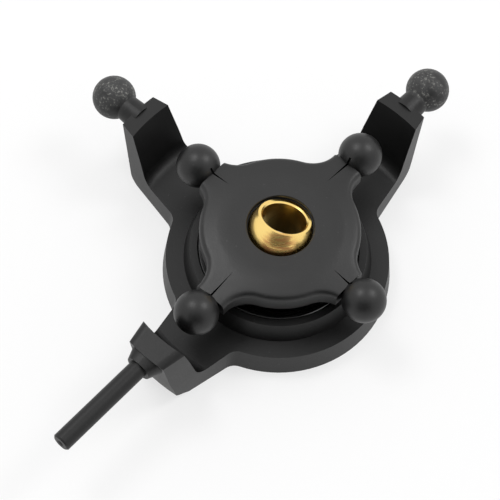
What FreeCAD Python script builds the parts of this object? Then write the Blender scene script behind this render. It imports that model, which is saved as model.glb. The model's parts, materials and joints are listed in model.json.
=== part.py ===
import FreeCAD, Part
import math
import os
import Sketcher

V = FreeCAD.Vector

# Driving dimensions in millimetres and degrees. The origin is the middle of the centre ball, where the
# swash axis crosses the plane of the link balls. +Z is up, and the anti-rotation pin points along -Y.
SIZES = {
    # main shaft and centre ball
    "shaft_r": 1.5,
    "shaft_clearance": 0.03,
    "centre_ball_r": 2.25,
    "centre_ball_half_height": 1.32,
    "bore_chamfer": 0.1,
    "ball_lean": 24,
    "ball_lean_direction": 100.9,
    # rotating ring
    "ring_top": 0.92,
    "ring_ledge": 0.35,
    "ring_bottom": -0.75,
    "ring_r": 5.3,
    "ledge_width": 0.1,
    "socket_mouth_r": 2.27,
    "lip_thickness": 0.28,
    "hub_bore_r": 2.9,
    "hub_shoulder_r": 4.0,
    "hub_tip_step": 0.2,
    "bar_half_width": 1.2,
    "bar_root_fillet": 2.0,
    "ring_top_round": 0.5,
    "ring_bottom_round": 0.35,
    "slit_width": 0.16,
    "slit_depth": 0.3,
    "slit_inner_r": 4.65,
    # link balls
    "link_ball_r": 1.5,
    "long_link_r": 8.19,
    "short_link_r": 7.43,
    "bar_to_ball": 1.48,
    "ring_neck_r": 0.75,
    "servo_link_r": 15.3,
    "servo_neck_r": 0.92,
    "servo_neck_base_r": 1.0,
    "servo_neck_base_at": 12.75,
    # stationary ring
    "plate_r": 7.82,
    "plate_top": -3.2,
    "plate_bottom": -5.42,
    "collar_foot_r": 6.4,
    "collar_top_r": 5.98,
    "floor_thickness": 0.37,
    "floor_hole_r": 4.5,
    "arm_half_width": 1.45,
    "arm_flare": 0.2,
    "arm_root_at": 6.9,
    "notch_fillet": 1.0,
    "foot_blend": 0.9,
    "heel_round": 0.9,
    # servo posts and pin block: each has an inner and an outer face that lean outwards
    "post_top": 0.8,
    "post_inner_r": 12.0,
    "post_outer_r": 13.13,
    "post_inner_lean": 0.34,
    "post_outer_lean": 0.15,
    "block_top": 1.3,
    "block_inner_r": 11.55,
    "block_outer_r": 13.1,
    "block_inner_lean": 0.25,
    "block_outer_lean": 0.16,
    "block_edge_round": 0.5,
    # anti-rotation pin
    "pin_r": 0.65,
    "pin_tip_at": 20.82,
    "pin_nose_r": 1.25,
    "pin_nose_tip_r": 0.92,
    "pin_nose_at": 13.7,
    "pin_chamfer": 0.1,
    "gate_mark_r": 0.3,
    "gate_mark_depth": 0.15,
    # bearing 7 x 11 x 3 mm, under the rotating ring
    "bearing_outer_r": 5.5,
    "bearing_bore_r": 3.5,
    "bearing_width": 3,
    "race_wall": 0.7,
    "race_chamfer": 0.12,
    "bearing_ball_r": 0.5,
    "bearing_play": 0.03,
    "cage_half_width": 0.18,
    "cage_half_height": 0.75,
    "shield_thickness": 0.12,
    "shield_depth": 0.1,
    "shield_step": 0.16,
    "shield_gap": 0.07,
    # retainers inside the hub and on its end
    "seat_play": 0.04,
    "seat_bottom": -0.75,
    "seat_retainer_height": 0.6,
    "seat_retainer_r": 2.35,
    "hub_retainer_r": 3.9,
    "hub_end_above_floor": 0.08,
}
BEARING_BALLS = 13
ARM_SWEEP = 60


class Size:
    """A length or angle that remembers the expression which gives it."""

    def __init__(self, value, text):
        self.value = value
        self.text = text

    def join(self, other, sign, value):
        return Size(value, "(%s %s %s)" % (self.text, sign, other.text))

    def __add__(self, other):
        other = size(other)
        return self.join(other, "+", self.value + other.value)

    def __sub__(self, other):
        other = size(other)
        return self.join(other, "-", self.value - other.value)

    def __mul__(self, other):
        other = size(other)
        return self.join(other, "*", self.value * other.value)

    def __truediv__(self, other):
        other = size(other)
        return self.join(other, "/", self.value / other.value)

    def __neg__(self):
        return Size(-self.value, "(0 - %s)" % self.text)

    def __radd__(self, other):
        return size(other) + self

    def __rsub__(self, other):
        return size(other) - self

    def __rmul__(self, other):
        return size(other) * self


def size(number):
    return number if isinstance(number, Size) else Size(number, "%g" % number)


def leg(long_side, short_side):
    """The third side of a right triangle, from its long side and one short side."""
    value = math.sqrt(long_side.value ** 2 - short_side.value ** 2)
    return Size(value, "sqrt(%s * %s - %s * %s)" % (
        long_side.text, long_side.text, short_side.text, short_side.text))


doc = FreeCAD.newDocument("Swashplate")
sheet = doc.addObject("Spreadsheet::Sheet", "Sizes")
for row, (name, number) in enumerate(SIZES.items(), start=1):
    sheet.set("A%d" % row, name)
    sheet.set("B%d" % row, "%g" % number)
    sheet.setAlias("B%d" % row, name)
doc.recompute()


def dim(name):
    return Size(SIZES[name], "Sizes." + name)


# ---------------------------------------------------------------- drawing helpers

def new_body(label):
    body = doc.addObject("PartDesign::Body", label)
    body.Label = label
    return body


def sketch_on(body, name, role, height=None):
    """An empty sketch on one of the body's own planes, raised along the plane's normal if asked."""
    sketch = body.newObject("Sketcher::SketchObject", name)
    plane = next(item for item in body.Origin.OriginFeatures if item.Role == role)
    sketch.AttachmentSupport = (plane, [""])
    sketch.MapMode = "FlatFace"
    if height is not None:
        sketch.AttachmentOffset = FreeCAD.Placement(V(0, 0, height.value), FreeCAD.Rotation())
        sketch.setExpression("AttachmentOffset.Base.z", height.text)
    return sketch


def bind_length(sketch, constraint, length):
    index = sketch.addConstraint(constraint)
    sketch.setExpression("Constraints[%d]" % index, length.text)


def hold_point(sketch, edge, end, x, y):
    """Holds one end of an edge at (x, y), through its distances to the two axes."""
    for kind, axis, length in (("DistanceX", -2, x), ("DistanceY", -1, y)):
        if abs(length.value) < 1e-9:
            sketch.addConstraint(Sketcher.Constraint("PointOnObject", edge, end, axis))
        else:
            bind_length(sketch, Sketcher.Constraint(kind, -1, 1, edge, end, length.value), length)


def arc_between(start, end, radius, left):
    """The short arc of a radius from start to end, with its centre to the left or right of the way."""
    chord = end - start
    half = chord.Length / 2
    rise = math.sqrt(radius ** 2 - half ** 2)
    side = V(-chord.y, chord.x, 0).normalize() * (rise if left else -rise)
    centre = (start + end) / 2 + side
    first, last = (start, end) if left else (end, start)
    a = math.atan2(first.y - centre.y, first.x - centre.x)
    b = math.atan2(last.y - centre.y, last.x - centre.x)
    return Part.ArcOfCircle(Part.Circle(centre, V(0, 0, 1), radius), a, b)


def draw_outline(sketch, corners, arcs=None):
    """A closed outline through the corners. arcs gives, for the stretch after a corner, its radius and
    whether its centre lies to the left."""
    arcs = arcs or {}
    corners = [(size(x), size(y)) for x, y in corners]
    points = [V(x.value, y.value, 0) for x, y in corners]
    ends = []
    for i, start in enumerate(points):
        end = points[(i + 1) % len(points)]
        if i in arcs:
            radius, left = arcs[i]
            edge = sketch.addGeometry(arc_between(start, end, radius.value, left))
            ends.append((edge, 1, 2) if left else (edge, 2, 1))
        else:
            edge = sketch.addGeometry(Part.LineSegment(start, end))
            ends.append((edge, 1, 2))
    for i, (edge, first, last) in enumerate(ends):
        following, its_first, _ = ends[(i + 1) % len(ends)]
        sketch.addConstraint(Sketcher.Constraint("Coincident", edge, last, following, its_first))
    for (edge, first, last), (x, y) in zip(ends, corners):
        hold_point(sketch, edge, first, x, y)
    for i, (radius, left) in arcs.items():
        bind_length(sketch, Sketcher.Constraint("Radius", ends[i][0], radius.value), radius)


def draw_circle(sketch, radius):
    circle = sketch.addGeometry(Part.Circle(V(0, 0, 0), V(0, 0, 1), radius.value))
    sketch.addConstraint(Sketcher.Constraint("Coincident", circle, 3, -1, 1))
    bind_length(sketch, Sketcher.Constraint("Radius", circle, radius.value), radius)


def feature(body, kind, name, sketch, **settings):
    """A PartDesign feature on a sketch. Sizes among the settings are bound to the sheet."""
    made = body.newObject("PartDesign::" + kind, name)
    made.Profile = sketch
    sketch.Visibility = False
    for key, value in settings.items():
        if isinstance(value, Size):
            setattr(made, key, value.value)
            made.setExpression(key, value.text)
        else:
            setattr(made, key, value)
    return made


def turn(body, name, corners, arcs=None, role="XZ_Plane", axis="V_Axis", kind="Revolution", sweep=360):
    """A profile turned round an axis of its sketch: added, or cut away where kind is Groove."""
    sketch = sketch_on(body, name + "_sketch", role)
    draw_outline(sketch, corners, arcs)
    return feature(body, kind, name, sketch, ReferenceAxis=(sketch, [axis]), Angle=sweep,
                   Midplane=sweep < 360)


def round_edges(body, name, radius, points):
    """Rounds the edges of the body's last feature that pass through the points."""
    doc.recompute()
    base = body.Tip
    edges = []
    for point in points:
        probe = Part.Vertex(point)
        distances = [edge.distToShape(probe)[0] for edge in base.Shape.Edges]
        nearest = distances.index(min(distances))
        if distances[nearest] > 0.05:
            raise ValueError("%s: no edge at %s" % (name, point))
        edges.append("Edge%d" % (nearest + 1))
    fillet = body.newObject("PartDesign::Fillet", name)
    fillet.Base = (base, sorted(set(edges)))
    fillet.Radius = radius.value
    fillet.setExpression("Radius", radius.text)
    body.Tip = fillet
    return fillet


def ring(body, name, inner, outer, bottom, top):
    """A plain ring of rectangular section."""
    return turn(body, name, [(inner, bottom), (outer, bottom), (outer, top), (inner, top)])


# ---------------------------------------------------------------- levels that several pieces share

plate_top = dim("plate_top")
plate_bottom = dim("plate_bottom")
bearing_bottom = plate_bottom + dim("floor_thickness")
bearing_top = bearing_bottom + dim("bearing_width")
bearing_middle = bearing_bottom + dim("bearing_width") / 2
pitch_r = (dim("bearing_outer_r") + dim("bearing_bore_r")) / 2
groove_r = dim("bearing_ball_r") + dim("bearing_play")
lip_bottom = dim("ring_top") - dim("lip_thickness")
hub_end = plate_bottom + dim("hub_end_above_floor")
hub_tip_r = dim("bearing_bore_r") - dim("hub_tip_step")
link_ball_r = dim("link_ball_r")


# ---------------------------------------------------------------- stationary ring

def arm_point(way, along, across):
    """A point in the plan of an arm: way is -X, +Y or -Y, and both lengths are Sizes."""
    places = {"-X": (-along, -across), "+Y": (-across, along), "-Y": (across, -along)}
    return places[way]


def arm_plan(body, way, tip_at, top):
    """The arm's outline seen from above, narrowing outwards, raised from the plate's underside."""
    root_at = dim("arm_root_at")
    root_half = dim("arm_half_width") + (tip_at - root_at) * dim("arm_flare")
    tip_half = dim("arm_half_width")
    sketch = sketch_on(body, "plan_" + PLACE[way], "XY_Plane", plate_bottom)
    draw_outline(sketch, [
        arm_point(way, root_at, -root_half),
        arm_point(way, tip_at, -tip_half),
        arm_point(way, tip_at, tip_half),
        arm_point(way, root_at, root_half)])
    feature(body, "Pad", "arm_" + PLACE[way], sketch, Length=top - plate_bottom)


def side_profile(way, corners):
    """Side outlines are drawn outwards along the arm, which is backwards on two of the arms."""
    if way == "+Y":
        return corners
    return [(-along, height) for along, height in corners]


PLACE = {"-X": "left", "+Y": "right", "-Y": "pin"}
SIDE_PLANE = {"-X": "XZ_Plane", "+Y": "YZ_Plane", "-Y": "YZ_Plane"}
MARGIN = 1


def upright(body, way, top, inner_r, inner_lean, outer_r, outer_lean):
    """Shapes an arm into a foot level with the plate and a leaning upright at its end."""
    place = PLACE[way]
    outer_at = outer_r + outer_lean * MARGIN
    arm_plan(body, way, outer_at, top)
    above = top + MARGIN
    inner_foot = inner_r - inner_lean * (top - plate_top)
    start = (dim("collar_foot_r") + dim("arm_root_at")) / 2
    turn(body, "inner_face_" + place, side_profile(way, [
        (start, plate_top),
        (inner_foot, plate_top),
        (inner_r + inner_lean * MARGIN, above),
        (start, above)]), role=SIDE_PLANE[way], kind="Groove", sweep=ARM_SWEEP)
    below = plate_bottom - MARGIN
    outer_foot = outer_r - outer_lean * (top - plate_bottom)
    far = outer_at + MARGIN
    turn(body, "outer_face_" + place, side_profile(way, [
        (outer_foot - outer_lean * MARGIN, below),
        (far, below),
        (far, above),
        (outer_at, above)]), role=SIDE_PLANE[way], kind="Groove", sweep=ARM_SWEEP)
    blend_at = arm_point(way, inner_foot, size(0))
    heel_at = arm_point(way, outer_foot, size(0))
    round_edges(body, "foot_blend_" + place, dim("foot_blend"),
                [V(blend_at[0].value, blend_at[1].value, plate_top.value)])
    round_edges(body, "heel_" + place, dim("heel_round"),
                [V(heel_at[0].value, heel_at[1].value, plate_bottom.value)])


def servo_stud(body, way):
    """Neck and link ball on the outer side of a servo post."""
    at = dim("servo_link_r")
    neck_end = at - leg(link_ball_r, dim("servo_neck_r"))
    base_at = dim("servo_neck_base_at")
    turn(body, "stud_" + PLACE[way], side_profile(way, [
        (base_at, 0),
        (base_at, dim("servo_neck_base_r")),
        (neck_end, dim("servo_neck_r")),
        (at, link_ball_r),
        (at + link_ball_r, 0)]),
        arcs={2: (link_ball_r, way != "+Y"), 3: (link_ball_r, way != "+Y")},
        role=SIDE_PLANE[way], axis="H_Axis")


def anti_rotation_pin(body):
    nose_root_at = dim("block_outer_r") - dim("block_outer_lean") * dim("block_top")
    pin_r = dim("pin_r")
    tip_at = dim("pin_tip_at")
    turn(body, "pin", side_profile("-Y", [
        (nose_root_at - dim("pin_nose_r") / 2, 0),
        (nose_root_at - dim("pin_nose_r") / 2, dim("pin_nose_r")),
        (nose_root_at, dim("pin_nose_r")),
        (dim("pin_nose_at"), dim("pin_nose_tip_r")),
        (dim("pin_nose_at"), pin_r),
        (tip_at - dim("pin_chamfer"), pin_r),
        (tip_at, pin_r - dim("pin_chamfer")),
        (tip_at, dim("gate_mark_r")),
        (tip_at - dim("gate_mark_depth"), 0)]), role="YZ_Plane", axis="H_Axis")


def make_stationary_ring():
    body = new_body("stationary_ring")
    plate_r = dim("plate_r")
    turn(body, "plate_and_collar", [
        (dim("floor_hole_r"), plate_bottom),
        (plate_r, plate_bottom),
        (plate_r, plate_top),
        (dim("collar_foot_r"), plate_top),
        (dim("collar_top_r"), bearing_top),
        (dim("bearing_outer_r"), bearing_top),
        (dim("bearing_outer_r"), bearing_bottom),
        (dim("floor_hole_r"), bearing_bottom)])
    for way in ("-X", "+Y"):
        upright(body, way, dim("post_top"), dim("post_inner_r"), dim("post_inner_lean"),
                dim("post_outer_r"), dim("post_outer_lean"))
    upright(body, "-Y", dim("block_top"), dim("block_inner_r"), dim("block_inner_lean"),
            dim("block_outer_r"), dim("block_outer_lean"))
    notches = []
    for way in ("-X", "+Y", "-Y"):
        tip_at = dim("block_outer_r") if way == "-Y" else dim("post_outer_r")
        lean = dim("block_outer_lean") if way == "-Y" else dim("post_outer_lean")
        notches += notch_points(way, (tip_at + lean * MARGIN).value)
    round_edges(body, "notches", dim("notch_fillet"), notches)
    block_middle = (dim("block_inner_r") + dim("block_outer_r")) / 2
    flare = dim("arm_flare") * (dim("block_outer_r") + dim("block_outer_lean") * MARGIN - block_middle)
    block_half = dim("arm_half_width") + flare
    block_edges = []
    for side in (-1, 1):
        x, y = arm_point("-Y", block_middle, block_half * side)
        block_edges.append(V(x.value, y.value, dim("block_top").value))
    round_edges(body, "block_edges", dim("block_edge_round"), block_edges)
    servo_stud(body, "-X")
    servo_stud(body, "+Y")
    anti_rotation_pin(body)
    return body


def notch_points(way, tip_at):
    """Where the two sides of an arm leave the round plate, half way up its edge."""
    half = SIZES["arm_half_width"]
    flare = SIZES["arm_flare"]
    plate_r = SIZES["plate_r"]
    along = plate_r
    for _ in range(20):
        across = half + (tip_at - along) * flare
        along = math.sqrt(plate_r ** 2 - across ** 2)
    level = (plate_top.value + plate_bottom.value) / 2
    points = []
    for side in (-1, 1):
        x, y = arm_point(way, size(along), size(across * side))
        points.append(V(x.value, y.value, level))
    return points


# ---------------------------------------------------------------- rotating ring

def bars(body, name, half_width, bottom, top):
    """Four equal bars across the ring, drawn long and trimmed later."""
    reach = dim("long_link_r") - link_ball_r + dim("bar_half_width")
    root = dim("hub_shoulder_r")
    sketch = sketch_on(body, name + "_sketch", "XY_Plane", bottom)
    draw_outline(sketch, [
        (root, -half_width), (reach, -half_width), (reach, half_width), (root, half_width)])
    pad = feature(body, "Pad", name, sketch, Length=top - bottom)
    pattern = body.newObject("PartDesign::PolarPattern", name + "_pattern")
    pattern.Originals = [pad]
    pattern.Axis = (sketch, ["N_Axis"])
    pattern.Angle = 360
    pattern.Occurrences = 4
    body.Tip = pattern


def quarter_points(along, across, level):
    """The eight places that lie alike on both sides of the four bars."""
    points = []
    for quarter in range(4):
        spin = FreeCAD.Rotation(V(0, 0, 1), 90 * quarter)
        for side in (-1, 1):
            points.append(spin.multVec(V(along, across * side, level)))
    return points


def ring_studs(body, name, role, link_r):
    """Necks and link balls of one pair, turned together round the pair's own line."""
    at = link_r
    neck_r = dim("ring_neck_r")
    neck_end = at - leg(link_ball_r, neck_r)
    neck_root = at - dim("bar_to_ball") - neck_r
    for side in (-1, 1):
        corners = [
            (neck_root * side, 0),
            (neck_root * side, neck_r),
            (neck_end * side, neck_r),
            (at * side, link_ball_r),
            ((at + link_ball_r) * side, 0)]
        turn(body, name + ("_near" if side < 0 else "_far"), corners,
             arcs={2: (link_ball_r, side < 0), 3: (link_ball_r, side < 0)}, role=role, axis="H_Axis")


def trim_bars(body):
    """Cuts the bars to length, short on X and long on Y."""
    top = dim("ring_top")
    far = dim("long_link_r") + link_ball_r
    half = dim("bar_half_width") * 2
    for name, link_r in (("short", dim("short_link_r")), ("long", dim("long_link_r"))):
        end_at = link_r - dim("bar_to_ball")
        for side in (-1, 1):
            sketch = sketch_on(body, "trim_%s_%s" % (name, "near" if side < 0 else "far"), "XY_Plane", top)
            corners = [(end_at * side, -half), (far * side, -half), (far * side, half), (end_at * side, half)]
            if name == "long":
                corners = [(-y, x) for x, y in corners]
            draw_outline(sketch, corners)
            feature(body, "Pocket", "end_%s_%s" % (name, "near" if side < 0 else "far"), sketch,
                    Length=top - dim("ring_bottom"))


def slits(body):
    """A thin slit along the top of each bar, which narrows to nothing towards the ring."""
    top = dim("ring_top")
    half = dim("slit_width") / 2
    inner = dim("slit_inner_r")
    for name, link_r in (("short", dim("short_link_r")), ("long", dim("long_link_r"))):
        end_at = link_r - dim("bar_to_ball")
        for side in (-1, 1):
            sketch = sketch_on(body, "slit_%s_%s" % (name, "near" if side < 0 else "far"), "XY_Plane", top)
            corners = [(inner * side, 0), (end_at * side, -half), (end_at * side, half)]
            if name == "long":
                corners = [(-size(y), size(x)) for x, y in corners]
            draw_outline(sketch, corners)
            feature(body, "Pocket", "slit_cut_%s_%s" % (name, "near" if side < 0 else "far"), sketch,
                    Length=dim("slit_depth"))


def make_rotating_ring():
    body = new_body("rotating_ring")
    ring_r = dim("ring_r")
    ledge_r = ring_r + dim("ledge_width")
    ledge = dim("ring_ledge")
    top = dim("ring_top")
    bottom = dim("ring_bottom")
    bore_r = dim("hub_bore_r")
    turn(body, "hub_and_plate", [
        (dim("socket_mouth_r"), top),
        (ring_r, top),
        (ring_r, ledge),
        (ledge_r, ledge),
        (ledge_r, bottom),
        (dim("hub_shoulder_r"), bottom),
        (dim("hub_shoulder_r"), bearing_top),
        (dim("bearing_bore_r"), bearing_top),
        (dim("bearing_bore_r"), bearing_bottom),
        (hub_tip_r, bearing_bottom),
        (hub_tip_r, hub_end),
        (bore_r, hub_end),
        (bore_r, lip_bottom),
        (dim("socket_mouth_r"), lip_bottom)])
    half = dim("bar_half_width")
    ledge_half = half + dim("ledge_width")
    bars(body, "lower_bars", ledge_half, bottom, ledge)
    bars(body, "upper_bars", half, ledge, top)
    roots = []
    for r, w, low, high in ((ledge_r, ledge_half, bottom, ledge), (ring_r, half, ledge, top)):
        roots += quarter_points(leg(r, w).value, w.value, (low.value + high.value) / 2)
    round_edges(body, "bar_roots", dim("bar_root_fillet"), roots)
    diagonal = ring_r.value * math.sqrt(0.5)
    rim = quarter_points(diagonal, diagonal, top.value)
    round_edges(body, "top_round", dim("ring_top_round"), rim)
    ledge_diagonal = ledge_r.value * math.sqrt(0.5)
    low_rim = quarter_points(ledge_diagonal, ledge_diagonal, bottom.value)
    round_edges(body, "bottom_round", dim("ring_bottom_round"), low_rim)
    trim_bars(body)
    slits(body)
    ring_studs(body, "short_studs", "XZ_Plane", dim("short_link_r"))
    ring_studs(body, "long_studs", "YZ_Plane", dim("long_link_r"))
    return body


# ---------------------------------------------------------------- centre ball, its seat and the retainers

def make_centre_ball():
    body = new_body("centre_ball")
    bore_r = dim("shaft_r") + dim("shaft_clearance")
    half = dim("centre_ball_half_height")
    rim_r = leg(dim("centre_ball_r"), half)
    chamfer = dim("bore_chamfer")
    turn(body, "ball", [
        (bore_r, -half + chamfer),
        (bore_r + chamfer, -half),
        (rim_r, -half),
        (rim_r, half),
        (bore_r + chamfer, half),
        (bore_r, half - chamfer)], arcs={2: (dim("centre_ball_r"), True)})
    direction = math.radians(SIZES["ball_lean_direction"])
    across = V(-math.sin(direction), math.cos(direction), 0)
    body.Placement = FreeCAD.Placement(V(0, 0, 0), FreeCAD.Rotation(across, SIZES["ball_lean"]))
    body.setExpression("Placement.Rotation.Angle", "Sizes.ball_lean")
    return body


def make_ball_seat():
    body = new_body("ball_seat")
    hollow_r = dim("centre_ball_r") + dim("bearing_play")
    top = lip_bottom - dim("seat_play")
    bottom = dim("seat_bottom")
    outer_r = dim("hub_bore_r") - dim("seat_play")
    turn(body, "seat", [
        (leg(hollow_r, bottom), bottom),
        (outer_r, bottom),
        (outer_r, top),
        (leg(hollow_r, top), top)], arcs={3: (hollow_r, False)})
    return body


def make_seat_retainer():
    body = new_body("seat_retainer")
    top = dim("seat_bottom") - dim("seat_play")
    ring(body, "retainer", dim("seat_retainer_r"), dim("hub_bore_r"), top - dim("seat_retainer_height"), top)
    return body


def make_hub_retainer():
    body = new_body("hub_retainer")
    ring(body, "retainer", hub_tip_r, dim("hub_retainer_r"), hub_end, bearing_bottom)
    return body


# ---------------------------------------------------------------- bearing

land = dim("race_wall")
groove_rise = leg(groove_r, (dim("bearing_outer_r") - dim("bearing_bore_r")) / 2 - land)
outer_land_r = dim("bearing_outer_r") - land
inner_land_r = dim("bearing_bore_r") + land
shield_inset = dim("shield_depth") + dim("shield_thickness")


def make_outer_race():
    """The outer race, with a groove for the balls and a step at each side for a shield."""
    body = new_body("bearing_outer_race")
    outer_r = dim("bearing_outer_r")
    step_r = outer_land_r + dim("shield_step")
    chamfer = dim("race_chamfer")
    turn(body, "race", [
        (step_r, bearing_bottom),
        (outer_r - chamfer, bearing_bottom),
        (outer_r, bearing_bottom + chamfer),
        (outer_r, bearing_top - chamfer),
        (outer_r - chamfer, bearing_top),
        (step_r, bearing_top),
        (step_r, bearing_top - shield_inset),
        (outer_land_r, bearing_top - shield_inset),
        (outer_land_r, bearing_middle + groove_rise),
        (outer_land_r, bearing_middle - groove_rise),
        (outer_land_r, bearing_bottom + shield_inset),
        (step_r, bearing_bottom + shield_inset)], arcs={8: (groove_r, False)})
    return body


def make_inner_race():
    body = new_body("bearing_inner_race")
    bore_r = dim("bearing_bore_r")
    chamfer = dim("race_chamfer")
    turn(body, "race", [
        (bore_r, bearing_bottom),
        (inner_land_r - chamfer, bearing_bottom),
        (inner_land_r, bearing_bottom + chamfer),
        (inner_land_r, bearing_middle - groove_rise),
        (inner_land_r, bearing_middle + groove_rise),
        (inner_land_r, bearing_top - chamfer),
        (inner_land_r - chamfer, bearing_top),
        (bore_r, bearing_top)], arcs={3: (groove_r, False)})
    return body


def make_shield(label, top):
    body = new_body(label)
    ring(body, "shield", inner_land_r + dim("shield_gap"), outer_land_r + dim("shield_step"),
         top - dim("shield_thickness"), top)
    return body


def ball_place(number):
    """Where a ball of the bearing lies: its angle round the axis and its centre."""
    angle = 360 * number / BEARING_BALLS
    turned = FreeCAD.Rotation(V(0, 0, 1), angle)
    return turned.multVec(V(pitch_r.value, 0, bearing_middle.value))


def make_cage():
    """A ring with a round pocket through it for each ball."""
    body = new_body("bearing_cage")
    half = dim("cage_half_width")
    rise = dim("cage_half_height")
    ring(body, "band", pitch_r - half, pitch_r + half, bearing_middle - rise, bearing_middle + rise)
    sketch = sketch_on(body, "pocket_sketch", "YZ_Plane")
    circle = sketch.addGeometry(Part.Circle(V(0, bearing_middle.value, 0), V(0, 0, 1), groove_r.value))
    hold_point(sketch, circle, 3, size(0), bearing_middle)
    bind_length(sketch, Sketcher.Constraint("Radius", circle, groove_r.value), groove_r)
    pocket = feature(body, "Pocket", "ball_pocket", sketch, Length=pitch_r + half * 2, Reversed=True)
    pattern = body.newObject("PartDesign::PolarPattern", "ball_pockets")
    pattern.Originals = [pocket]
    pattern.Axis = (sketch, ["V_Axis"])
    pattern.Angle = 360
    pattern.Occurrences = BEARING_BALLS
    body.Tip = pattern
    return body


def bearing_ball_solid(label, radius, number):
    ball = doc.addObject("Part::Sphere", label)
    ball.Label = label
    ball.Radius = radius.value
    ball.setExpression("Radius", radius.text)
    ball.Placement.Base = ball_place(number)
    turned = 360 * number / BEARING_BALLS
    ball.setExpression("Placement.Base.x", "%s * cos(%.6f deg)" % (pitch_r.text, turned))
    ball.setExpression("Placement.Base.y", "%s * sin(%.6f deg)" % (pitch_r.text, turned))
    ball.setExpression("Placement.Base.z", bearing_middle.text)
    return ball


# ---------------------------------------------------------------- all the pieces

pieces = [
    make_stationary_ring(),
    make_rotating_ring(),
    make_centre_ball(),
    make_ball_seat(),
    make_seat_retainer(),
    make_hub_retainer(),
    make_outer_race(),
    make_inner_race(),
    make_shield("bearing_shield_upper", bearing_top - dim("shield_depth")),
    make_shield("bearing_shield_lower", bearing_bottom + shield_inset),
    make_cage(),
]
for i in range(BEARING_BALLS):
    pieces.append(bearing_ball_solid("bearing_ball_%02d" % (i + 1), dim("bearing_ball_r"), i))
doc.recompute()

for item in doc.Objects:
    if "Invalid" in item.State or "Error" in item.State:
        raise RuntimeError("%s failed: %s" % (item.Name, item.State))
for piece in pieces:
    shape = piece.Shape
    if shape.isNull() or not shape.isValid() or len(shape.Solids) != 1:
        raise RuntimeError("%s is not one sound solid" % piece.Label)

os.makedirs("parts", exist_ok=True)
for piece in pieces:
    piece.Shape.exportStep("parts/%s.step" % piece.Label)
    print("%-22s %8.3f mm3" % (piece.Label, piece.Shape.Volume))
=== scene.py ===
import json
import math

import bmesh
import bpy
from mathutils import Matrix, Vector


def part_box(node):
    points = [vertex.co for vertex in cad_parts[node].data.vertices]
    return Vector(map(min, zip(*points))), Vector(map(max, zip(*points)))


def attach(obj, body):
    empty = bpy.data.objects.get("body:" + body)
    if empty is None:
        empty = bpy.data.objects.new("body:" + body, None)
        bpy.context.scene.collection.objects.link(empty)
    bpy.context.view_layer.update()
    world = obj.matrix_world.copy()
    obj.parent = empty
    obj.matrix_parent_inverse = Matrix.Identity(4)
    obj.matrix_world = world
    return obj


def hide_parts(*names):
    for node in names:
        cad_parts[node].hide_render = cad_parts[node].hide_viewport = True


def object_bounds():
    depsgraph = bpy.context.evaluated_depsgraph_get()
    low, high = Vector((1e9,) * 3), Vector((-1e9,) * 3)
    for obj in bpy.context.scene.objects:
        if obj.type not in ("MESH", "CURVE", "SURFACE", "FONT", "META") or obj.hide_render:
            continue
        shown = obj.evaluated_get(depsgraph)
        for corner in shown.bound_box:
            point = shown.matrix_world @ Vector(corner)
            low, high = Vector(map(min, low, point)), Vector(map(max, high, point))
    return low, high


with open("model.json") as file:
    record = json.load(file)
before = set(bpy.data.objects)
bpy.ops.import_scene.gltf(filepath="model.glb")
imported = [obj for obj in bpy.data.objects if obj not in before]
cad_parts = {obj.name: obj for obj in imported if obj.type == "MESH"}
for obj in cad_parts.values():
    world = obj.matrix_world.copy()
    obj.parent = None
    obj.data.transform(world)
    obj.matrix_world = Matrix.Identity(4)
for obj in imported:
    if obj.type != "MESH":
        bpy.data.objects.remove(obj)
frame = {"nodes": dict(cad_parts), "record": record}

MM = 0.001
CAD_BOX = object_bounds()


# ---------------------------------------------------------------- shader maths

class Value:
    """One number, colour or vector inside a finish. Arithmetic on numbers adds Math nodes."""

    def __init__(self, finish, socket):
        self.finish = finish
        self.socket = socket

    def math(self, operation, *numbers):
        return self.finish.node("Math", {"operation": operation}, dict(enumerate(numbers)))

    def __add__(self, other):
        return self.math("ADD", self, other)

    __radd__ = __add__

    def __sub__(self, other):
        return self.math("SUBTRACT", self, other)

    def __rsub__(self, other):
        return self.math("SUBTRACT", other, self)

    def __mul__(self, other):
        return self.math("MULTIPLY", self, other)

    __rmul__ = __mul__


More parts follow.
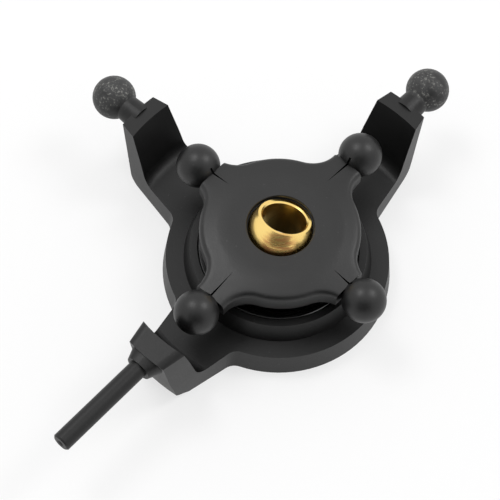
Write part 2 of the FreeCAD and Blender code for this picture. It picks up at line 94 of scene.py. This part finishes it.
class Finish:
    """A material, or the studio's own light, while its nodes are laid."""

    def __init__(self, owner):
        owner.use_nodes = True
        self.owner = owner
        self.tree = owner.node_tree
        self.tree.nodes.clear()

    def node(self, kind, settings=None, inputs=None, output=0):
        """Lays one node: its settings first, then the values or links of its sockets."""
        made = self.tree.nodes.new("ShaderNode" + kind)
        for setting, value in (settings or {}).items():
            setattr(made, setting, value)
        for name, value in (inputs or {}).items():
            if isinstance(value, Value):
                self.tree.links.new(value.socket, made.inputs[name])
            else:
                made.inputs[name].default_value = value
        return Value(self, made.outputs[output]) if made.outputs else None

    def place(self):
        """Where a point of the surface is on its own piece, so that a texture rides with it."""
        return self.node("TexCoord", output="Object")

    def noise(self, size, place=None, detail=2, roughness=0.5, seed=0):
        """A cloudy pattern whose lumps are about size metres across."""
        return self.node("TexNoise", {"noise_dimensions": "4D"},
                         {"Vector": place or self.place(), "W": seed, "Scale": 1 / size,
                          "Detail": detail, "Roughness": roughness})

    def mix(self, share, first, second):
        """Goes from the first colour to the second."""
        return self.node("Mix", {"data_type": "RGBA"}, {0: share, 6: first, 7: second}, 2)

    def fade(self, value, start, end, low=0, high=1):
        """Goes from low to high as value goes from start to end, softly at both ends."""
        return self.node("MapRange", {"interpolation_type": "SMOOTHSTEP"},
                         {"Value": value, "From Min": start, "From Max": end,
                          "To Min": low, "To Max": high})

    def stretched(self, scale):
        """The place on the piece with each axis scaled, which draws a pattern out or packs it."""
        return self.node("VectorMath", {"operation": "MULTIPLY"}, {0: self.place(), 1: scale})

    def bump(self, height, depth):
        """Raises the surface by height times depth metres."""
        return self.node("Bump", {}, {"Height": height, "Distance": depth, "Strength": 1})

    def near(self, centre, reach, edge):
        """1 within reach of a place on the piece, and 0 beyond its soft edge."""
        gap = self.node("VectorMath", {"operation": "DISTANCE"},
                        {0: self.place(), 1: centre}, "Value")
        return self.fade(gap, reach, reach + edge, 1, 0)

    def shown(self):
        """1 where the eye, a gloss or clear stuff sees the surface, 0 for the light it sends."""
        seen, glossy, through = (self.node("LightPath", output=ray) for ray in
                                 ("Is Camera Ray", "Is Glossy Ray", "Is Transmission Ray"))
        return self.node("Math", {"operation": "MINIMUM"}, {0: seen + glossy + through, 1: 1})

    def close(self, inputs):
        """Ends the finish with its surface, and hands the material back."""
        surface = self.node("BsdfPrincipled", {}, inputs)
        self.node("OutputMaterial", {}, {"Surface": surface})
        return self.owner


def finish_of(name):
    return Finish(bpy.data.materials.new(name))


def grey(level):
    return (level, level, level, 1)


# ---------------------------------------------------------------- finishes

MOUNTS = {mount["name"]: Vector(mount["pos_m"]) for mount in frame["record"]["mounts"]}
SERVO_BALLS = (MOUNTS["servo_ball_left"], MOUNTS["servo_ball_right"])
BALL_HALF = (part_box("centre_ball")[1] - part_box("centre_ball")[0]).x / 2
RUBBED_AT = BALL_HALF * Vector((0.53, -0.70, 0.47)).normalized()

# How large the marks on each finish are, in metres.
NYLON_CLOUD = 2.4 * MM
NYLON_GRAIN = 0.16 * MM
NYLON_SPECK = 0.2 * MM
NYLON_RELIEF = 0.012 * MM
SCUFF_REACH = 1.4 * MM
SCUFF_EDGE = 0.5 * MM
SCUFF_PATCH = 0.9 * MM
SCUFF_FLECK = 0.19 * MM
TURNING_RING = 0.9 * MM
METAL_STAIN = 1.3 * MM
METAL_GRAIN = 0.12 * MM
BRASS_CLOUD = 1.6 * MM
BRASS_SCRATCH = 0.5 * MM
BRASS_RELIEF = 0.005 * MM
RUB_REACH = 0.75 * MM
RUB_EDGE = 0.9 * MM

# What colour they are.
SPECK_GREY = grey(0.04)
FROSTED_GREY = grey(0.07)
BRUISED_GREY = (0.26, 0.26, 0.24, 1)
BRIGHT_BRASS = (0.97, 0.70, 0.24, 1)
DEEP_BRASS = (0.90, 0.58, 0.18, 1)
BROWNED_BRASS = (0.55, 0.20, 0.08, 1)


def moulded_nylon(name, seed, level, gloss=0.5, matt=0.33, scuffed=()):
    """Black nylon: a satin skin with cloudy gloss and specks. Scuffed places are frosted grey."""
    f = finish_of(name)
    cloud = f.noise(NYLON_CLOUD, detail=3, seed=seed)
    grain = f.noise(NYLON_GRAIN, detail=3, roughness=0.65, seed=seed + 3)
    speck = f.fade(f.noise(NYLON_SPECK, detail=1, seed=seed + 7), 0.70, 0.80)
    tone = f.fade(cloud, 0.3, 0.7)
    colour = f.mix(tone, grey(level * 0.7), grey(level * 1.3))
    colour = f.mix(speck * 0.5, colour, SPECK_GREY)
    roughness = matt + 0.08 * cloud + 0.10 * grain
    if scuffed:
        worn = sum(f.near(centre, SCUFF_REACH, SCUFF_EDGE) for centre in scuffed)
        patch = f.fade(f.noise(SCUFF_PATCH, detail=2, seed=seed + 9), 0.40, 0.58)
        fleck = f.fade(f.noise(SCUFF_FLECK, detail=2, roughness=0.7, seed=seed + 11), 0.50, 0.68)
        colour = f.mix(worn * (0.25 + 0.35 * patch), colour, FROSTED_GREY)
        colour = f.mix(worn * patch * fleck * 0.8, colour, BRUISED_GREY)
        roughness = roughness + 0.14 * worn * patch
    height = grain * 0.6 + cloud * 0.4
    return f.close({"Base Color": colour, "Roughness": roughness, "Specular IOR Level": gloss,
                    "Normal": f.bump(height, NYLON_RELIEF)})


def turned_metal(name, colour, streak, roughness, seed, ring_depth=0.004 * MM):
    """A turned metal: fine rings about the axis, faint stains and a soft gloss."""
    f = finish_of(name)
    rings = f.noise(TURNING_RING, f.stretched((0.25, 0.25, 5)), detail=4, roughness=0.6, seed=seed)
    stain = f.noise(METAL_STAIN, detail=3, seed=seed + 2)
    fine = f.noise(METAL_GRAIN, detail=2, seed=seed + 5)
    tint = f.mix(f.fade(stain, 0.45, 0.75), colour, streak)
    return f.close({"Base Color": tint, "Metallic": 1.0,
                    "Roughness": roughness + 0.10 * (rings - 0.5) + 0.08 * (stain - 0.5),
                    "Normal": f.bump(rings * 0.7 + fine * 0.3, ring_depth)})


def worn_brass(name, seed):
    """Polished brass with a browned, scratched patch where the ball has rubbed."""
    f = finish_of(name)
    cloud = f.noise(BRASS_CLOUD, detail=2, seed=seed)
    scratch = f.noise(BRASS_SCRATCH, f.stretched((0.5, 0.5, 4)), detail=4, roughness=0.7,
                      seed=seed + 3)
    patch = f.near(RUBBED_AT, RUB_REACH, RUB_EDGE)
    brown = patch * f.fade(scratch, 0.38, 0.60)
    tint = f.mix(f.fade(cloud, 0.4, 0.8) * 0.5, BRIGHT_BRASS, DEEP_BRASS)
    tint = f.mix(brown * 0.8, tint, BROWNED_BRASS)
    return f.close({"Base Color": tint, "Metallic": 1.0,
                    "Roughness": 0.21 + 0.06 * cloud + 0.12 * brown,
                    "Normal": f.bump(scratch * (0.1 + 0.9 * patch), BRASS_RELIEF)})


def dress(node, material):
    """Gives a CAD node its finish."""
    mesh = frame["nodes"][node].data
    mesh.materials.clear()
    mesh.materials.append(material)


# Painted shade: the lower ring's nylon is a darker, less glossy copy of the upper ring's black
# nylon (level 0.0025 against 0.004), so it looks as dark as it would in the shade under the upper
# ring.
LOWER_SHADE_DARKENED = moulded_nylon("lower_nylon_shade_darkened", 1, 0.0025, 0.4, 0.36, SERVO_BALLS)
UPPER = moulded_nylon("upper_nylon", 11, 0.004)
BRASS = worn_brass("ball_brass", 21)
RACE = turned_metal("race_black_steel", grey(0.12), grey(0.07), 0.24, 31)
SHIELD = turned_metal("shield_black_steel", grey(0.04), grey(0.02), 0.3, 36)
POLISHED = turned_metal("bearing_ball_steel", grey(0.68), grey(0.60), 0.08, 41, 0.001 * MM)
CAGE = moulded_nylon("cage_nylon", 51, 0.10)
SEAT = moulded_nylon("seat_acetal", 61, 0.005)
CLIP = turned_metal("retainer_metal", grey(0.05), grey(0.03), 0.38, 71)

DRESSED = {
    "centre_ball": BRASS,
    "bearing_outer_race": RACE,
    "bearing_inner_race": RACE,
    "bearing_shield_upper": SHIELD,
    "bearing_shield_lower": SHIELD,
    "bearing_cage": CAGE,
    "ball_seat": SEAT,
    "seat_retainer": CLIP,
    "hub_retainer": CLIP,
}
DRESSED.update((node, POLISHED) for node in frame["nodes"] if node.startswith("bearing_ball_"))

for node, material in DRESSED.items():
    dress(node, material)


# ---------------------------------------------------------------- the two mouldings

# The round ring, in millimetres. Its top is flat out to CROWN_R and falls from there.
RING_R = 5.4
RING_TOP = 0.92
RING_BOTTOM = -0.62
CROWN_R = 4.1
CROWN_SLOPE = 0.16
EDGE_ROUND = 0.36

# The four bars and their link balls.
BAR_HALF = 1.2
BAR_FILLET = 2.0
BAR_TO_BALL = 1.32
LINK_BALL_R = 1.5
NECK_R = 0.42
NECK_ROOT = 0.25
LONG_LINK_R = MOUNTS["rotor_ball_long_a"].length / MM
SHORT_LINK_R = MOUNTS["rotor_ball_short_a"].length / MM

# The slit in each bar runs a little past the bar's end and top, to cut cleanly.
SLIT_HALF = 0.08
SLIT_INNER_R = 4.65
SLIT_FLOOR = 0.1
SLIT_PAST_END = 0.2
SLIT_PAST_TOP = 0.3

# The hub, which holds the ball seat and carries the bearing's inner race.
HUB_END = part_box("rotating_ring")[0].z / MM
BEARING_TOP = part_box("bearing_inner_race")[1].z / MM
BEARING_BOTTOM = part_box("bearing_inner_race")[0].z / MM
BEARING_BORE_R = 3.5
HUB_TIP_R = BEARING_BORE_R - 0.2
HUB_BORE_R = 2.9
SHOULDER_R = 4.0
FLAT_TOP_R = 3.3
SOCKET_MOUTH_R = 2.27
MOUTH_BEVEL = 0.04
LIP_BOTTOM = RING_TOP - 0.28
HUB_SECTION = [
    (CROWN_R, RING_TOP), (FLAT_TOP_R, RING_TOP), (SOCKET_MOUTH_R + MOUTH_BEVEL, RING_TOP),
    (SOCKET_MOUTH_R, RING_TOP - MOUTH_BEVEL), (SOCKET_MOUTH_R, LIP_BOTTOM),
    (HUB_BORE_R, LIP_BOTTOM), (HUB_BORE_R, HUB_END), (HUB_TIP_R, HUB_END),
    (HUB_TIP_R, BEARING_BOTTOM), (BEARING_BORE_R, BEARING_BOTTOM), (BEARING_BORE_R, BEARING_TOP),
    (SHOULDER_R, BEARING_TOP), (SHOULDER_R, RING_BOTTOM)]

# How finely rounds are divided, and the bend above which an edge stays hard.
ARC_STEPS = 12
EDGE_STEPS = 6
BALL_STEPS = 28
TURN_STEPS = 48
CROWN_ROWS = (0.25, 0.5, 0.75)
CREASE_DEG = 32

# A turned tool ends on its axis in a flat of this radius, in millimetres.
AXIS_R = 0.001

# Points of a mesh that are nearer than this, in metres, merge.
MERGE = 1e-7


def turned_quarter(points, quarter):
    """Points turned by whole quarters about the swash axis."""
    for _ in range(quarter % 4):
        points = [(-y, x) for x, y in points]
    return points


def link_r(quarter):
    """How far out a quarter's link ball is: the long pair along Y, the short pair along X."""
    return LONG_LINK_R if quarter % 2 else SHORT_LINK_R


def bar_end(quarter):
    return link_r(quarter) - BAR_TO_BALL


def bar_side(quarter, inset):
    """One side of a bar, from its end to where its root fillet meets the round ring."""
    end = bar_end(quarter)
    across = BAR_HALF + BAR_FILLET
    along = math.sqrt((RING_R + BAR_FILLET) ** 2 - across ** 2)
    fillet = BAR_FILLET + inset
    first = math.asin(max(0, along - end) / fillet)
    last = math.atan2(along, across)
    side = [(end, across - fillet * math.cos(first))]
    for step in range(1, ARC_STEPS + 1):
        angle = first + (last - first) * step / ARC_STEPS
        side.append((along - fillet * math.sin(angle), across - fillet * math.cos(angle)))
    return side


def ring_outline(inset):
    """The ring's plan with its four bars, drawn in by inset everywhere but at the bars' ends."""
    outline = []
    for quarter in range(4):
        side = bar_side(quarter, inset)
        end, half = side[0]
        face = [(end, half * share) for share in (-0.5, 0, 0.5)]
        outline += turned_quarter(face + side, quarter)
        start = math.atan2(side[-1][1], side[-1][0])
        sweep = math.pi / 2 - 2 * start
        radius = RING_R - inset
        arc = [start + sweep * step / ARC_STEPS for step in range(1, ARC_STEPS)]
        arc = [(radius * math.cos(angle), radius * math.sin(angle)) for angle in arc]
        outline += turned_quarter(arc, quarter)
        following = [(x, -y) for x, y in reversed(bar_side(quarter + 1, inset))]
        outline += turned_quarter(following, quarter + 1)
    return outline


def crown(x, y):
    """The height of the ring's top over a point of its plan."""
    return RING_TOP - CROWN_SLOPE * max(0, math.hypot(x, y) - CROWN_R)


def ring_loops():
    """Closed loops that wrap the ring: up its wall, over its edge and crown, and round its hub."""
    wall = ring_outline(0)
    loops = [[(x, y, RING_BOTTOM) for x, y in wall]]
    for step in range(EDGE_STEPS + 1):
        turn = math.pi / 2 * step / EDGE_STEPS
        edge = ring_outline(EDGE_ROUND * (1 - math.cos(turn)))
        loops.append([(x, y, crown(x, y) - EDGE_ROUND * (1 - math.sin(turn))) for x, y in edge])
    top = ring_outline(EDGE_ROUND)
    for share in CROWN_ROWS:
        loop = []
        for x, y in top:
            pull = 1 + share * (CROWN_R / math.hypot(x, y) - 1)
            loop.append((x * pull, y * pull, crown(x * pull, y * pull)))
        loops.append(loop)
    for radius, height in HUB_SECTION:
        loops.append([(x * radius / math.hypot(x, y), y * radius / math.hypot(x, y), height)
                      for x, y in top])
    return loops


def wrapped(name, loops):
    """A mesh through loops of equally many points, with the last loop joined to the first."""
    count = len(loops[0])
    points = [Vector(point) * MM for loop in loops for point in loop]
    faces = []
    for row in range(len(loops)):
        below, above = row * count, (row + 1) % len(loops) * count
        for i in range(count):
            j = (i + 1) % count
            faces.append((below + i, below + j, above + j, above + i))
    return mesh_of(name, points, faces)


def mesh_of(name, points, faces):
    """A mesh of these points and faces, with doubled points merged and faces turned outward."""
    made = bmesh.new()
    corners = [made.verts.new(point) for point in points]
    for face in faces:
        made.faces.new([corners[i] for i in face])
    bmesh.ops.remove_doubles(made, verts=made.verts, dist=MERGE)
    bmesh.ops.dissolve_degenerate(made, dist=MERGE, edges=made.edges)
    bmesh.ops.recalc_face_normals(made, faces=made.faces)
    mesh = bpy.data.meshes.new(name)
    made.to_mesh(mesh)
    made.free()
    return mesh


def link_stud(quarter):
    """A link ball with the neck that roots it in its bar, turned about the bar's own line."""
    sweep = math.pi - math.asin(NECK_R / LINK_BALL_R)
    root = bar_end(quarter) - NECK_ROOT
    section = [(root, AXIS_R), (root, NECK_R)]
    for step in range(BALL_STEPS + 1):
        angle = sweep - sweep * step / BALL_STEPS
        section.append((link_r(quarter) + LINK_BALL_R * math.cos(angle),
                        max(AXIS_R, LINK_BALL_R * math.sin(angle))))
    spin = Matrix.Rotation(math.pi / 2 * quarter, 3, "Z")
    loops = []
    for step in range(TURN_STEPS):
        angle = math.tau * step / TURN_STEPS
        loops.append([spin @ Vector((u, v * math.cos(angle), v * math.sin(angle)))
                      for u, v in section])
    return loops


def studs():
    """All four link balls and necks, as one tool."""
    points, faces = [], []
    for quarter in range(4):
        loops = link_stud(quarter)
        start, count = len(points), len(loops[0])
        points += [point * MM for loop in loops for point in loop]
        rows = [start + row * count for row in range(len(loops))]
        for here, there in zip(rows, rows[1:] + rows[:1]):
            faces += [(here + i, here + i + 1, there + i + 1, there + i) for i in range(count - 1)]
        faces.append(rows)
        faces.append([row + count - 1 for row in rows])
    return mesh_of("studs", points, faces)


def slits():
    """The wedge cut out of each bar's top, as one tool."""
    points, faces = [], []
    for quarter in range(4):
        far = bar_end(quarter) + SLIT_PAST_END
        plan = turned_quarter([(SLIT_INNER_R, 0), (far, -SLIT_HALF), (far, SLIT_HALF)], quarter)
        start = len(points)
        for height in (SLIT_FLOOR, RING_TOP + SLIT_PAST_TOP):
            points += [Vector((x, y, height)) * MM for x, y in plan]
        a, b, c, d, e, g = range(start, start + 6)
        faces += [(a, b, c), (d, e, g), (a, b, e, d), (b, c, g, e), (c, a, d, g)]
    return mesh_of("slits", points, faces)


def set_down(name, data):
    """An object that holds this mesh, lamp or lens, put in the scene."""
    made = bpy.data.objects.new(name, data)
    bpy.context.scene.collection.objects.link(made)
    return made


def carve(piece, tools):
    """Works the boolean tools into the piece, and then throws them away."""
    for operation, tool in tools:
        cut = piece.modifiers.new(operation, "BOOLEAN")
        cut.operation = operation
        cut.solver = "EXACT"
        cut.object = tool
    worked = piece.evaluated_get(bpy.context.evaluated_depsgraph_get())
    shaped = bpy.data.meshes.new_from_object(worked)
    piece.modifiers.clear()
    piece.data = shaped
    for _, tool in tools:
        bpy.data.objects.remove(tool)


def smooth_faces(mesh):
    for face in mesh.polygons:
        face.use_smooth = True


def finish_piece(piece, body, node, material):
    """Gives a piece its finish, its body and the CAD node that it stands for."""
    piece.data.materials.clear()
    piece.data.materials.append(material)
    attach(piece, body)
    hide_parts(node)


def rotating_moulding():
    """The rotating ring with its link balls joined on and its slits cut."""
    name = "rotating_ring_moulding"
    ring = set_down(name, wrapped(name, ring_loops()))
    carve(ring, [("UNION", set_down("studs", studs())),
                 ("DIFFERENCE", set_down("slits", slits()))])
    smooth_faces(ring.data)
    ring.data.set_sharp_from_angle(angle=math.radians(CREASE_DEG))
    return ring


finish_piece(rotating_moulding(), "upper_ring", "rotating_ring", UPPER)


# The stationary ring, in millimetres. Its plate is drawn down, and its rim slims toward the top.
FLOOR = CAD_BOX[0].z / MM
PLATE_TOP = -3.2
PLATE_R = 7.82
PLATE_DROP = 0.3
RIM_DRAFT = 0.2
RIM_WIDTH = 0.5
RIM_REACH = 1
RIM_EDGE = 0.1

# Its pin block: the heel is drawn in and up, and above the pin the top is lowered and slimmed.
BLOCK_FROM = 10.5
BLOCK_INNER_R = 11.55
BLOCK_OUTER_R = 13.1
BLOCK_TOP = 1.3
BLOCK_WAIST = 0.07
HEEL_ABOVE = 1.9
HEEL_BLEND = 1
HEEL_DRAW = 0.45
HEEL_LIFT = 0.2
LIFT_FROM = BLOCK_FROM + 0.5
LIFT_FULL = BLOCK_OUTER_R - 1
PIN_R = 0.65
HEIGHT_KEPT_INNER = 0.75
HEIGHT_KEPT_OUTER = 0.5


def share_of(value, start, end):
    """How far value has gone from start to end, from 0 to 1."""
    return min(1, max(0, (value - start) / (end - start)))


def drawn(point):
    """Where a point of the stationary ring lies in its finished form."""
    x, y, z = point
    radius = math.hypot(x, y)
    level = z
    rise = share_of(level, FLOOR, PLATE_TOP)
    z -= PLATE_DROP * rise * (1 - share_of(level, PLATE_TOP, BEARING_TOP))
    if PLATE_R - RIM_WIDTH < radius < PLATE_R + RIM_REACH:
        slim = RIM_DRAFT * rise * (1 - share_of(level, PLATE_TOP, PLATE_TOP + RIM_EDGE))
        slim *= 1 - share_of(radius, PLATE_R, PLATE_R + RIM_REACH)
        x, y = x * (1 - slim / radius), y * (1 - slim / radius)
    if y < -BLOCK_FROM:
        low = 1 - share_of(level, FLOOR, FLOOR + HEEL_ABOVE)
        heel = low * low * share_of(-y, BLOCK_FROM, BLOCK_FROM + HEEL_BLEND)
        y += HEEL_DRAW * heel
        z += HEEL_LIFT * heel * share_of(radius, LIFT_FROM, LIFT_FULL)
        x *= 1 - BLOCK_WAIST * share_of(level, PIN_R, BLOCK_TOP)
        if level > PIN_R:
            outward = share_of(radius, BLOCK_INNER_R, BLOCK_OUTER_R)
            kept = HEIGHT_KEPT_INNER + (HEIGHT_KEPT_OUTER - HEIGHT_KEPT_INNER) * outward
            z = PIN_R + (level - PIN_R) * kept
    return x, y, z


def stationary_moulding():
    """The stationary ring's own mesh in its finished form, each face still shaded by itself."""
    source = frame["nodes"]["stationary_ring"].data
    points = [Vector(drawn(vertex.co / MM)) * MM for vertex in source.vertices]
    faces = [tuple(face.vertices) for face in source.polygons]
    mesh = bpy.data.meshes.new("stationary_ring_moulding")
    mesh.from_pydata(points, [], faces)
    smooth_faces(mesh)
    return set_down("stationary_ring_moulding", mesh)


finish_piece(stationary_moulding(), "lower_ring", "stationary_ring", LOWER_SHADE_DARKENED)


# ---------------------------------------------------------------- camera, floor, light

# The camera's own axes, and how far it stands along each, counted in millimetres.
RIGHT = Vector((0.7397726, 0.67197602, 0.03442003))
UP = Vector((-0.60714712, 0.64460504, 0.46460383))
BACK = Vector((0.2900153, -0.3645992, 0.88484945))
EYE = (148.187 * BACK - 1.997 * RIGHT - 1.194 * UP) * MM

# The studio, in metres and watts. Its lamps and card are given by direction and distance.
TABLE_HALF = 1.5
TABLE_BELOW = 0.01 * MM
TABLE_WHITE = grey(0.92)
TABLE_GLOW = 0.66
LAMP_DISTANCE = 0.35
LAMP_SIDE = 0.11
LAMP_POWER = 0.28
CARD_PLACE = (0.539, -0.678, 0.5)
CARD_DISTANCE = 0.4
CARD_SCALE = (0.27, 0.20, 1)
CARD_BLACK = grey(0.2)
SKY_LIGHT = 0.84


def set_camera():
    lens = bpy.data.cameras.new("camera")
    lens.lens = 160
    lens.sensor_width = 36
    lens.clip_start = 0.01
    lens.clip_end = 10
    camera = set_down("camera", lens)
    turn = Matrix((RIGHT, UP, BACK)).transposed().to_4x4()
    camera.matrix_world = Matrix.Translation(EYE) @ turn
    bpy.context.scene.camera = camera


def plane(name, half, height):
    """A level square that reaches half to each side of its middle."""
    mesh = bpy.data.meshes.new(name)
    corners = [(-half, -half, height), (half, -half, height), (half, half, height),
               (-half, half, height)]
    mesh.from_pydata(corners, [], [(0, 1, 2, 3)])
    return set_down(name, mesh)


def table_finish():
    """A white table: seen plainly white, taking the object's shadow, and clear from underneath."""
    f = finish_of("white_table")
    white = f.node("Emission", {}, {"Color": grey(1), "Strength": 1})
    paper = f.node("BsdfDiffuse", {}, {"Color": TABLE_WHITE})
    both = f.node("MixShader", {}, {0: f.shown() * TABLE_GLOW, 1: paper, 2: white})
    clear = f.node("BsdfTransparent", {}, {"Color": grey(1)})
    below = f.node("NewGeometry", output="Backfacing")
    table = f.node("MixShader", {}, {0: below, 1: both, 2: clear})
    f.node("OutputMaterial", {}, {"Surface": table})
    return f.owner


def lay_table():
    table = plane("table", TABLE_HALF, CAD_BOX[0].z - TABLE_BELOW)
    table.data.materials.append(table_finish())


def aim(made, place, distance):
    """Sets something up at a distance in a direction, facing the object."""
    toward = Vector(place).normalized()
    made.location = toward * distance
    made.rotation_euler = toward.to_track_quat("Z", "Y").to_euler()


def softbox(name, place):
    lamp = bpy.data.lights.new(name, "AREA")
    lamp.energy = LAMP_POWER
    lamp.size = LAMP_SIDE
    aim(set_down(name, lamp), place, LAMP_DISTANCE)


def black_card():
    """A dark card in front, so that glossy rounds keep a dark side as well as a bright one."""
    card = plane("black_card", 1, 0)
    card.scale = CARD_SCALE
    aim(card, CARD_PLACE, CARD_DISTANCE)
    f = finish_of("card_black")
    f.node("OutputMaterial", {}, {"Surface": f.node("BsdfDiffuse", {}, {"Color": CARD_BLACK})})
    card.data.materials.append(f.owner)
    card.visible_camera = False


def studio_sky():
    """Even light from all round, seen as plain white."""
    studio = bpy.data.worlds.new("studio")
    bpy.context.scene.world = studio
    sky = Finish(studio)
    strength = SKY_LIGHT + (1 - SKY_LIGHT) * sky.shown()
    glow = sky.node("Background", {}, {"Color": grey(1), "Strength": strength})
    sky.node("OutputWorld", {}, {"Surface": glow})


set_camera()
lay_table()
softbox("left_box", (-0.448, -0.044, 0.895))
softbox("right_box", (0.293, 0.575, 0.769))
black_card()
studio_sky()
bpy.context.scene.view_settings.view_transform = "Standard"
